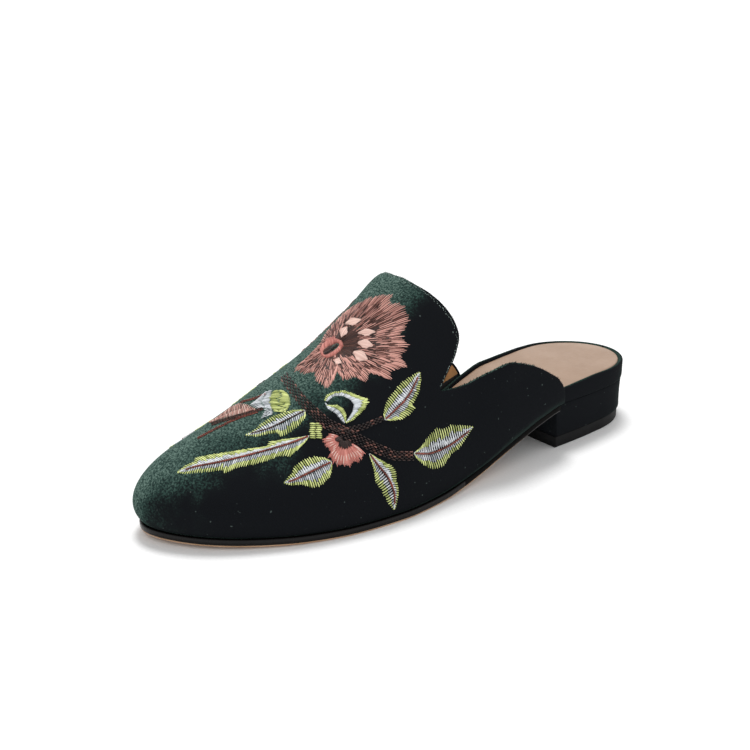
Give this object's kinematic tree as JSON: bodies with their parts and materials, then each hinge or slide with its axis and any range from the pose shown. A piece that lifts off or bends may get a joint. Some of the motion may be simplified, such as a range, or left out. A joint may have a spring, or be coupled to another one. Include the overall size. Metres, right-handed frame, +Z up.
{
  "type": "babouche slipper",
  "caption": "Backless velvet slipper with a rounded toe, instep tongue, embroidered vamp, low side quarters and a covered block heel.",
  "frame": {"origin": "middle of the slipper's box, on the floor", "axes": "+Z up, -Y towards the toe, +X towards the outer side of the left foot"},
  "size_m": [0.0782, 0.2482, 0.0853],
  "materials": {
    "velvet": "cut pile velvet",
    "sock_leather": "smooth",
    "sole_leather": "polished edge",
    "rubber": "matte"
  },
  "bodies": {
    "root": {"upper": "velvet", "footbed": "velvet", "insole": "sock_leather", "outsole": "sole_leather", "heel_block": "velvet", "top_piece": "rubber"}
  },
  "joints": []
}
